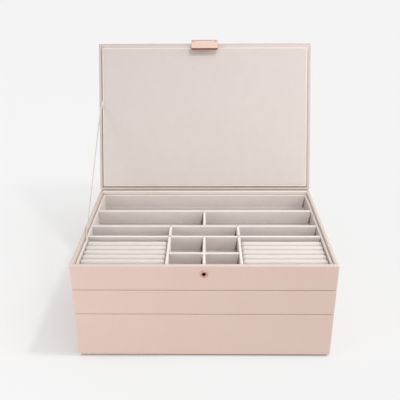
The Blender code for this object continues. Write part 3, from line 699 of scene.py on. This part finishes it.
half_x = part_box("lid_board")[1][0]
half_y, lid_middle = (LID_FRONT - LID_REAR) / 2, -(LID_FRONT + LID_REAR) / 2
profile = np.concatenate(
    [
        [(LID_MIDDLE_FACE, 0), (GROOVE_INSET + GROOVE_WIDTH, 0)],
        bend(GROOVE_INSET + GROOVE_WIDTH / 2, 0, GROOVE_WIDTH / 2, 0, 180, 8) * [1, GROOVE_STEEPER],
        [(GROOVE_INSET, 0)],
        bend(LID_ROUND, LID_ROUND, LID_ROUND, 270, 180),
        bend(LID_ROUND, LID_THICKNESS - LID_ROUND, LID_ROUND, 180, 90),
        [(LID_MIDDLE_FACE, LID_THICKNESS)],
    ]
)
shares = np.linspace(0, 1, 52)
grid = carried_round(profile, half_x, half_y, SHELL_CORNER, SHELL_INNER_CORNER, shares)
grid[..., 1] += lid_middle
in_groove = (profile[:, 0] > LID_ROUND * 1.5) & (profile[:, 1] < 2 * MM)
from_front = grid[..., 1] - (lid_middle - half_y)
kept_depth = np.interp(from_front, GROOVE_RUN_OUT, (GROOVE_LEFT, 1))
grid[..., 2] *= np.where(in_groove[:, None], kept_depth, 1)
lid = skin("lid_board_wrap", opened(grid), leatherette)
# Painted sheen: the inner face's border is paler and greyer.
turned_in = np.clip(1 - profile[:, 1] / LID_ROUND, 0, 1)
mark(lid, "burnish", turned_in)
# Painted shade in the groove, and a little darkening of the flat border near the front and right edges.
pressed = np.clip(profile[:, 1] / (1 * MM), 0, 1) * in_groove
groove_shade = GROOVE_DARK + LEFT_GROOVE_DARK * (grid[..., 0] < SHADOW_STRIP - half_x)
groove_shade += HINGE_GROOVE_DARK * (grid[..., 1] > lid_middle + half_y - SHADOW_STRIP)
flat = (profile[:, 0] < GROOVE_INSET - 0.1 * MM) & (profile[:, 1] < LID_ROUND / 2)
near_edge = (from_front < EDGE_STRIP) | (grid[..., 0] > half_x - EDGE_STRIP)
dark = np.minimum(groove_shade, MOST_DARK) * pressed[:, None] + EDGE_DARK * near_edge * flat[:, None]
mark(lid, "hollow", dark)
fit(lid, "lid", "leatherette", "lid_board")


# Lid pad. A card with a thin sheet of foam is wrapped in velvet and glued to the inside of the lid. It stands
# 3 mm proud with a slight crown, edged all round with a piping covered in tape, and drops inside the top
# tray's rim when the lid is shut.
PAD_HALF_X = 178.8 * MM
PAD_HALF_Y = 120.8 * MM
PAD_GAP = 0.3 * MM
PAD_THICKNESS = 3.0 * MM
PAD_CORNER = 3.2 * MM
PAD_INNER_CORNER = 0.35 * MM
PAD_MIDDLE = -127.7 * MM
PAD_EDGE = 0.45
PAD_SHOULDER = 0.85
PAD_DIP = 0.16 * MM
PAD_DIP_WAVE = 52 * MM
PAD_SHADE = 0.15
PAD_TOP_SHADE = 0.13
PIPING_RADIUS = 1.2 * MM


def under_lid(grid):
    """Points made upwards from the lid's inner face, turned to hang from it and then opened with the lid."""
    return opened(grid * [1, -1, -1] + [0, PAD_MIDDLE, -PAD_GAP])


# Cream grosgrain tape: matt, with fine cross ribs. They are 0.3 mm apart and are drawn at about 2 mm.
cream_tape, add, place = new_finish("cream grosgrain tape")
rib = add("TexWave", {
    "Vector": place, "Scale": 1 / (2 * np.pi * MM), "Distortion": 0.6,
}, wave_type="BANDS", bands_direction="X")
tone = add("Mix", {"Factor": (rib, "Fac"), FIRST: "#D5CBC2", SECOND: "#DED5CD"})
relief = add("Bump", {"Height": (rib, "Fac"), "Strength": 0.2, "Distance": 0.05 * MM})
shader = add("BsdfPrincipled", {
    "Base Color": (tone, MIXED), "Roughness": 0.85, "IOR": 1.5, "Normal": (relief, "Normal"),
})
close_finish(add, shader)

piping_round = bend(PIPING_RADIUS, PIPING_RADIUS, PIPING_RADIUS, 0, 330, 11)
grid = carried_round(piping_round, PAD_HALF_X, PAD_HALF_Y, PAD_CORNER, PAD_INNER_CORNER)
piping = skin("lid_pad_piping", under_lid(grid), cream_tape, joined=True)
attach(piping, "lid")

# The pad stands up behind the piping, rolls inwards to its shoulder and rises slowly from there to its whole
# thickness near the middle.
pad_inset = 1.6 * PIPING_RADIUS
turn = np.linspace(0, np.pi / 2, 9)[1:]
rolled_in = pad_inset + PIPING_RADIUS * (1 - np.cos(turn))
rolled = points(rolled_in, PAD_THICKNESS * (PAD_EDGE + (PAD_SHOULDER - PAD_EDGE) * np.sin(turn)))
share = np.linspace(0, 1, 30)[1:]
crown_in = rolled[-1, 0] + (PAD_HALF_Y * 0.985 - rolled[-1, 0]) * share**1.6
lift = (1 - PAD_SHOULDER) * np.sin(share**0.5 * np.pi / 2)
crown = points(crown_in, PAD_THICKNESS * (PAD_SHOULDER + lift))
profile = np.concatenate([[(pad_inset + 0.2 * MM, 0), (pad_inset, PAD_EDGE * PAD_THICKNESS)], rolled, crown])
shares = np.linspace(0, 1, 82)
grid = carried_round(profile, PAD_HALF_X, PAD_HALF_Y, PAD_CORNER, PAD_INNER_CORNER, shares)
soft = np.clip((profile[:, 1] - 0.5 * PAD_THICKNESS) / (0.3 * PAD_THICKNESS), 0, 1)[:, None]
grid[..., 2] -= soft * PAD_DIP * (1 + rippled(grid * [1, 1, 0], PAD_DIP_WAVE, 1, 21))
pad = skin("lid_velvet_pad", under_lid(grid), velvet)
# Darker all over, and painted shade grades it darker towards the open lid's top, nearer the lamps above.
mark(pad, "shade", PAD_SHADE + PAD_TOP_SHADE * (grid[..., 1] / (2 * PAD_HALF_Y) + 0.5))
fit(pad, "lid", "padded_velvet", "lid_panel")


# Hinge strip. A strip of the leatherette, backed with cloth, is glued up the back of the top tray and along
# the end of the lid. It bends in the crease between them.
STRIP_THICKNESS = 0.8 * MM
STRIP_REACH = 12.0 * MM
STRIP_FOLD = 0.6 * MM
CREASE_DARK = 0.7


def strip(name, path, sideways, half_width, thickness, finish):
    """A flat strip of rounded section: its middle follows a path, with its width along one given direction.

    The thickness direction at each point is square to both the path there and the width.
    """
    path = np.asarray(path, float)
    forward = np.gradient(path, axis=0)
    forward /= np.linalg.norm(forward, axis=1, keepdims=True)
    sideways = np.broadcast_to(np.asarray(sideways, float), path.shape)
    upright = np.cross(forward, sideways)
    upright /= np.linalg.norm(upright, axis=1, keepdims=True)
    turn = np.linspace(0, 2 * np.pi, 24, endpoint=False)
    wide = np.sign(np.cos(turn)) * np.abs(np.cos(turn)) ** 0.25 * half_width
    thick = np.sign(np.sin(turn)) * np.abs(np.sin(turn)) ** 0.6 * thickness / 2
    grid = path[:, None] + sideways[:, None] * wide[:, None] + upright[:, None] * thick[:, None]
    return skin(name, grid, finish)


tangent = STRIP_FOLD * math.tan(LID_OPEN / 2)
fold_centre = HINGE[1:] + np.array([STRIP_FOLD, -tangent])
turn = np.linspace(0, LID_OPEN, 13)
fold = fold_centre + STRIP_FOLD * points(-np.cos(turn), np.sin(turn))
lid_way = np.array([math.sin(LID_OPEN), math.cos(LID_OPEN)])
rise = np.linspace(-STRIP_REACH, 0, 10)[:-2, None]
up = HINGE[1:] + rise * np.array([0, 1])
out = HINGE[1:] - rise[::-1] * lid_way
route = np.concatenate([up, fold, out])
from_crease = np.linalg.norm(route - HINGE[1:], axis=1)
route = np.insert(route, 0, 0, axis=1)
half_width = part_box("hinge_spine")[1][0]
hinge_strip = strip("hinge_strip_cloth", route, (1, 0, 0), half_width, STRIP_THICKNESS, leatherette)
# Painted shade darkens the strip in the crease.
mark(hinge_strip, "hollow", CREASE_DARK * np.exp(-((from_crease / (2 * MM)) ** 2)))
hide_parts("hinge_spine")
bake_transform(hinge_strip)

# Inside the box a wide tape is glued over the tray's rear rim, from the crease down to its inner face.
TAPE_THICKNESS = 0.24 * MM
TAPE_TURN = 1.0 * MM
TAPE_DROP = 4.2 * MM
TAPE_INSET = 5.8 * MM
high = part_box("top_shell")[1]
clear = TAPE_THICKNESS / 2 + 0.02 * MM
face_y = high[1] - SHELL_WALL - clear
over = bend(face_y + TAPE_TURN, high[2] + clear - TAPE_TURN, TAPE_TURN, 90, 180, 8)
rim_y = np.linspace(high[1] - 0.3 * MM, over[0, 0], 10)[:-1]
down_z = np.linspace(over[-1, 1], high[2] - TAPE_DROP, 9)[1:]
route = np.concatenate([points(rim_y, high[2] + clear), over, points(face_y, down_z)])
route = np.insert(route, 0, 0, axis=1)
hinge_lining = strip("hinge_lining_tape", route, (1, 0, 0), high[0] - TAPE_INSET, TAPE_THICKNESS, cream_tape)
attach(hinge_lining, "top_tray")


# Stay ribbon. A narrow woven satin ribbon holds the lid open on the left. One end is tucked behind the top
# tray's lining and the other under the edge of the lid's pad; it bends between them when the lid shuts. It is
# drawn with the lid open.
RIBBON_WIDTH = 5.5 * MM
RIBBON_THICKNESS = 0.6 * MM
RIBBON_X = -178.4 * MM
RIBBON_LID_REACH = 156 * MM
RIBBON_BOW = 3.0 * MM
RIBBON_TURN = math.radians(14)

# Woven satin ribbon: soft sheen with fine cross ribs. They are 0.4 mm apart and are drawn at about 2 mm.
satin_ribbon, add, place = new_finish("cream woven satin ribbon")
rib = add("TexWave", {
    "Vector": place, "Scale": 1 / (2 * np.pi * MM), "Distortion": 0.4,
}, wave_type="BANDS", bands_direction="Z")
tone = add("Mix", {"Factor": (rib, "Fac"), FIRST: "#C6BFB9", SECOND: "#D8D2CC"})
relief = add("Bump", {"Height": (rib, "Fac"), "Strength": 0.4, "Distance": 0.1 * MM})
shader = add("BsdfPrincipled", {
    "Base Color": (tone, MIXED), "Roughness": 0.5, "IOR": 1.5,
    "Normal": (relief, "Normal"), "Sheen Weight": 0.1,
})
close_finish(add, shader)

low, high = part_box("stay_ribbon")
tray_end = np.array([RIBBON_X, RIBBON_TUCK_Y, low[2]])
lid_end = opened(np.array([RIBBON_X, -RIBBON_LID_REACH, -PAD_GAP]))
# It bows outwards over the rim's inner edge and turns towards the lid's face where it is glued there.
along = np.linspace(0, 1, 80)[:, None]
bow = -RIBBON_BOW * along * (1 - along**14)
route = tray_end + (lid_end - tray_end) * along + bow * [1, 0, 0]
taut = (lid_end - tray_end) / np.linalg.norm(lid_end - tray_end)
across = np.cross(taut, (1, 0, 0))
late = np.clip((along - 0.55) / 0.4, 0, 1)
turn = RIBBON_TURN * late**2 * (3 - 2 * late)
sideways = np.cos(turn) * across + np.sin(turn) * [1, 0, 0]
ribbon = strip("stay_ribbon_weave", route, sideways, RIBBON_WIDTH / 2, RIBBON_THICKNESS, satin_ribbon)
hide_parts("stay_ribbon")
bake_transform(ribbon)


# Clasp. A rolled brass leaf is riveted to the front end of the lid, a pin runs through its two end knuckles,
# and a thick polished flap hangs on the pin between them, with a turned stud on its inner face.
CLASP_HALF = 23 * MM
CLASP_Y = 259.5 * MM
CLASP_DROP = 0.4 * MM
CLASP_FOLD = math.radians(48)
KNUCKLE_RADIUS = 2.5 * MM
KNUCKLE_END = 6 * MM
PIN_RADIUS = 1.0 * MM
PIN_DOME = 0.35 * MM
PIN_DOME_START = 0.15
LEAF_BACK = -256.5 * MM
LEAF_THICKNESS = 1.4 * MM
LEAF_TOP = 11.3 * MM
FLAP_HALF_THICKNESS = 2.0 * MM
FLAP_LENGTH = 22 * MM
FLAP_CORNER = 3 * MM
FLAP_ROUND = 0.8 * MM
STUD_DROP = 13.4 * MM
LEAF_BROWN = 0.35
END_REFLECTION_DARK = 0.85
BARREL_SHADOW_DARK = 0.6


def hung(plumb):
    """Points in the pin's frame, with the flap straight down, folded about the pin and put on the lid."""
    x, y, z = np.moveaxis(plumb, -1, 0)
    cos, sin = math.cos(CLASP_FOLD), math.sin(CLASP_FOLD)
    folded = points(x, y * cos - z * sin, y * sin + z * cos)
    return opened(folded + np.array([0, -CLASP_Y, -CLASP_DROP]))


# The leaf's section is a sheet that comes down the lid's end and rolls forwards round the pin's bore. In the
# middle, where the flap's knuckle turns, it stops short above the pin. Stations are doubled where it jumps.
bore = PIN_RADIUS + 0.1 * MM
turn = np.linspace(0, np.radians(300), 31)
outer_roll, inner_roll = (
    points(-CLASP_Y + radius * np.cos(turn), -CLASP_DROP - radius * np.sin(turn))
    for radius in (KNUCKLE_RADIUS, bore)
)
half = LEAF_THICKNESS / 2
soft_top = bend(0, 0, half, 0, 180, 6) + [LEAF_BACK - half, LEAF_TOP - half]
rolled = np.concatenate([outer_roll, inner_roll[::-1], soft_top[::-1]])
clear = KNUCKLE_RADIUS + 0.3 * MM - CLASP_DROP
stopped_ends = np.repeat([(LEAF_BACK, clear), (LEAF_BACK - LEAF_THICKNESS, clear)], len(turn), axis=0)
stopped = np.concatenate([stopped_ends, soft_top[::-1]])
inner = CLASP_HALF - KNUCKLE_END
places = np.array([-CLASP_HALF, -inner, -inner, inner, inner, CLASP_HALF])
sections = np.array([rolled, rolled, stopped, stopped, rolled, rolled])
grid = np.insert(sections, 0, places[:, None], axis=2)
leaf = skin("clasp_leaf_plate", opened(grid), rose_gold)
mark(leaf, "cast", LEAF_BROWN)
fit(leaf, "lid", "rose_metal", "clasp_leaf")

# The pin has slightly domed ends.
reach = CLASP_HALF - 0.3 * MM
rise = np.linspace(PIN_DOME_START, np.pi / 2, 6)
radius = PIN_RADIUS * np.concatenate([np.sin(rise), np.sin(rise[::-1])])[:, None]
dome = PIN_DOME * np.cos(rise)
place_x = np.concatenate([dome - reach, reach - dome[::-1]])[:, None]
angle = np.linspace(0, 2 * np.pi, 24, endpoint=False)
grid = points(place_x, radius * np.cos(angle), radius * np.sin(angle))
pin = skin("clasp_pin_rod", hung(grid), rose_gold)
fit(pin, "clasp_flap", "rose_metal", "clasp_pin")

# The flap's section is a thick plate under a round knuckle. Beside the knuckle the plate starts lower, and
# towards its sides it gets thinner and shorter, which rounds its edges and its lower corners.
inner = CLASP_HALF - KNUCKLE_END - 0.3 * MM
shoulder = -KNUCKLE_RADIUS - 0.6 * MM
away = FLAP_CORNER * np.sin(np.linspace(0, np.pi / 2, 13))
outer_places = CLASP_HALF - FLAP_CORNER + away
places = np.concatenate([-outer_places[::-1], [-inner, -inner, 0, inner, inner], outer_places])
full = np.array([False] * 14 + [True] * 3 + [False] * 14)
beyond = np.clip(np.abs(places) - (CLASP_HALF - FLAP_CORNER), 0, FLAP_CORNER)
foot = -FLAP_LENGTH + FLAP_CORNER - np.sqrt(np.maximum(FLAP_CORNER**2 - beyond**2, 0))
thin = np.clip(np.abs(places) - (CLASP_HALF - FLAP_ROUND), 0, FLAP_ROUND)
half = FLAP_HALF_THICKNESS - FLAP_ROUND + np.sqrt(np.maximum(FLAP_ROUND**2 - thin**2, 0))
# The knuckle's arc leaves out the 74 degrees under it, where the plate begins.
turn = np.linspace(np.radians(-53), np.radians(233), 27)
knuckle_y, knuckle_z = KNUCKLE_RADIUS * np.cos(turn), KNUCKLE_RADIUS * np.sin(turn)
plate_y = np.clip(knuckle_y / (KNUCKLE_RADIUS * 0.6), -1, 1)
plate_z = shoulder - FLAP_ROUND * (1 - np.sqrt(np.clip(1 - (np.abs(plate_y) * 0.9) ** 2, 0, 1)))
top_y = np.where(full[:, None], knuckle_y, plate_y * half[:, None])
top_z = np.where(full[:, None], knuckle_z, plate_z)
turn = np.linspace(np.pi, 2 * np.pi, 15)
round_y, round_z = np.cos(turn), np.sin(turn)
edge_y = np.sign(round_y) * (half[:, None] - FLAP_ROUND * (1 - np.abs(round_y)))
edge_z = foot[:, None] + FLAP_ROUND * (1 + round_z)
y, z = np.concatenate([top_y, edge_y], axis=1), np.concatenate([top_z, edge_z], axis=1)
grid = points(places[:, None], y, z)
flap = skin("clasp_flap_plate", hung(grid), rose_gold)
# Painted dark reflection on the end face and painted shadow on the knuckle's top.
end_face = np.clip((foot[:, None] + 0.9 * FLAP_ROUND - grid[..., 2]) / (0.3 * FLAP_ROUND), 0, 1)
barrel = full[:, None] * np.clip(1.6 * (grid[..., 2] / KNUCKLE_RADIUS + 0.8), 0, 1)
mark(flap, "cast", np.maximum(END_REFLECTION_DARK * end_face, BARREL_SHADOW_DARK * barrel))
fit(flap, "clasp_flap", "rose_metal", "clasp_flap")

# The stud is turned, with a thin flange against the flap and a rounded nose.
STUD_PROFILE_MM = [
    (3.2, -0.3), (3.2, -0.6), (3.0, -0.8), (1.9, -0.8), (1.9, -1.1), (1.8, -1.25), (1.6, -1.38), (1.2, -1.4),
]
grid = turned(np.array(STUD_PROFILE_MM) * MM, (0, FLAP_HALF_THICKNESS, -STUD_DROP))
stud = skin("clasp_stud_turned", hung(grid), rose_gold)
fit(stud, "clasp_flap", "rose_metal", "clasp_stud")


# Studio. The box stands on a wide pale floor that glows a little, as a light table does, in an even bright
# room. Two small softboxes face down, one above its right half and one to its right, and a larger dim one
# stands at the front left. Each has its place, its size in metres and its power in watts.
OVERHEAD = (((190 * MM, -150 * MM, 890 * MM), 0.08, 1.9), ((950 * MM, -100 * MM, 750 * MM), 0.2, 4.6))
FILL = ((-0.8, -0.7, 0.4), 0.4, 2.5)
FILL_TARGET = (0, 0, 0.1)
ROOM_LIGHT = 0.92
ROOM_SLANT = 0.3
FLOOR_LIGHT = 0.905
SHADED_SHARE = 0.7
OPEN_SHARE = 0.3
FRONT_SHARE = 0.25
LEFT_FADE = 150 * MM
FRONT_FADE = (115 * MM, 150 * MM)
UNDER_INSET = 5 * MM
UNDER_FADE = 4 * MM

# Pale studio sweep: nearly even light grey with a weak shadow. Part of its light is its own glow, which makes
# up for what it gives back of the room's and the softboxes' light, so that the open floor is even. It gives
# back the most at the left of the box, in its shadow, and the least in front. Under the box it is dark.
pale_floor, add, place = new_finish("pale studio sweep")
received = ROOM_LIGHT
for (x, y, height), _, power in OVERHEAD:
    foot = add("VectorMath", {0: place, 1: (x, y, 0)}, operation="SUBTRACT")
    far = add("VectorMath", {0: (foot, 0), 1: (foot, 0)}, operation="DOT_PRODUCT")
    spread = add("Math", {0: (far, "Value"), 1: 1 / height**2, 2: 1.0}, operation="MULTIPLY_ADD")
    fall = add("Math", {0: (spread, 0), 1: -2.0}, operation="POWER")
    below = power / (math.pi * height) ** 2
    added = add("Math", {0: (fall, 0), 1: below, 2: received}, operation="MULTIPLY_ADD")
    received = (added, 0)
leftward = add("VectorMath", {0: place, 1: (-1.0, 0.0, 0.0)}, operation="DOT_PRODUCT")
at_left = add("MapRange", {
    "Value": (leftward, "Value"), "From Max": LEFT_FADE, "To Min": OPEN_SHARE, "To Max": SHADED_SHARE,
}, interpolation_type="SMOOTHSTEP")
frontward = add("VectorMath", {0: place, 1: (0.0, -1.0, 0.0)}, operation="DOT_PRODUCT")
in_front = add("MapRange", {
    "Value": (frontward, "Value"), "From Min": FRONT_FADE[0],
    "From Max": FRONT_FADE[1], "To Min": 1.0, "To Max": FRONT_SHARE,
}, interpolation_type="SMOOTHSTEP")
share = add("Math", {0: (at_left, "Result"), 1: (in_front, "Result")}, operation="MULTIPLY")
given_back = add("Math", {0: (share, 0), 1: received}, operation="MULTIPLY")
glow = add("Math", {0: FLOOR_LIGHT, 1: (given_back, 0)}, operation="SUBTRACT")
half_x, half_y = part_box("bottom_shell")[1][:2]
mirrored = add("VectorMath", {0: place}, operation="ABSOLUTE")
under = (half_x - UNDER_INSET, half_y - UNDER_INSET, 1.0)
beyond = add("VectorMath", {0: (mirrored, 0), 1: under}, operation="SUBTRACT")
outside = add("VectorMath", {0: (beyond, 0), 1: (0.0, 0.0, 0.0)}, operation="MAXIMUM")
reach = add("VectorMath", {0: (outside, 0)}, operation="LENGTH")
open_floor = add("MapRange", {"Value": (reach, "Value"), "From Max": UNDER_FADE})
strength = add("Math", {0: (glow, 0), 1: (open_floor, "Result")}, operation="MULTIPLY")
shader = add("BsdfPrincipled", {
    "Base Color": (share, 0), "Roughness": 0.9, "Specular IOR Level": 0.0,
    "Emission Color": "#FFFFFF", "Emission Strength": (strength, 0),
})
close_finish(add, shader)
FLOOR_REACH = 14.0
mesh = bpy.data.meshes.new("studio_floor")
floor_corners = FLOOR_REACH * np.array([(-1, -1, 0), (1, -1, 0), (1, 1, 0), (-1, 1, 0)])
mesh.from_pydata(floor_corners, [], [(0, 1, 2, 3)])
mesh.materials.append(pale_floor)
floor = bpy.data.objects.new("studio_floor", mesh)
scene.collection.objects.link(floor)
floor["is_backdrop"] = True

# The room is brighter on its right side than on its left, which leaves a shade on the floor at the left.
world = bpy.data.worlds.new("bright studio room")
world.use_nodes = True
tree = world.node_tree
way = add_node(tree, "TexCoord")
along_x = add_node(tree, "SeparateXYZ", {"Vector": (way, "Generated")})
room = add_node(tree, "MapRange", {
    "Value": (along_x, "X"), "From Min": -1.0, "From Max": 1.0,
    "To Min": ROOM_LIGHT * (1 - ROOM_SLANT), "To Max": ROOM_LIGHT * (1 + ROOM_SLANT),
})
background = tree.nodes["Background"].inputs
tree.links.new(room.outputs["Result"], background["Strength"])
background["Color"].default_value = linear("#FFFFFF")
scene.world = world


def aimed(position, target):
    """Turns an object's -Z from its position towards a target, with its Y kept up."""
    z = np.array(position, float) - target
    z /= np.linalg.norm(z)
    x = np.cross((0, 1, 0) if abs(z[2]) > 0.98 else (0, 0, 1), z)
    x /= np.linalg.norm(x)
    y = np.cross(z, x)
    placed = Matrix([list(row) for row in np.stack([x, y, z], axis=1)]).to_4x4()
    placed.translation = position
    return placed


softboxes = [("overhead softbox", spot, (*spot[0][:2], 0)) for spot in OVERHEAD]
for name, (position, size, power), target in (*softboxes, ("fill softbox", FILL, FILL_TARGET)):
    lamp = bpy.data.lights.new(name, "AREA")
    lamp.shape, lamp.size, lamp.energy = "SQUARE", size, power
    softbox = bpy.data.objects.new(name, lamp)
    softbox.matrix_world = aimed(position, target)
    scene.collection.objects.link(softbox)

# The camera's lens, place and turn come from a least-squares fit to the box's corners in the photograph.
SENSOR_WIDTH_MM, FOCAL_LENGTH_MM = 36.0, 50.964
CAMERA_PLACE = (4.455 * MM, -789.743 * MM, 559.721 * MM)
PITCH, YAW, ROLL = (math.radians(degrees) for degrees in (24.733, -0.794, -0.333))
lens = bpy.data.cameras.new("photograph view")
lens.sensor_width, lens.lens = SENSOR_WIDTH_MM, FOCAL_LENGTH_MM
camera = bpy.data.objects.new("photograph view", lens)
camera.matrix_world = (
    Matrix.Translation(CAMERA_PLACE)
    @ Matrix.Rotation(-YAW, 4, "Z")
    @ Matrix.Rotation(math.pi / 2 - PITCH, 4, "X")
    @ Matrix.Rotation(ROLL, 4, "Z")
)
scene.collection.objects.link(camera)
scene.camera = camera
scene.view_settings.view_transform = "Standard"

rows = {"cad": cad_box, "visual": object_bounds()}
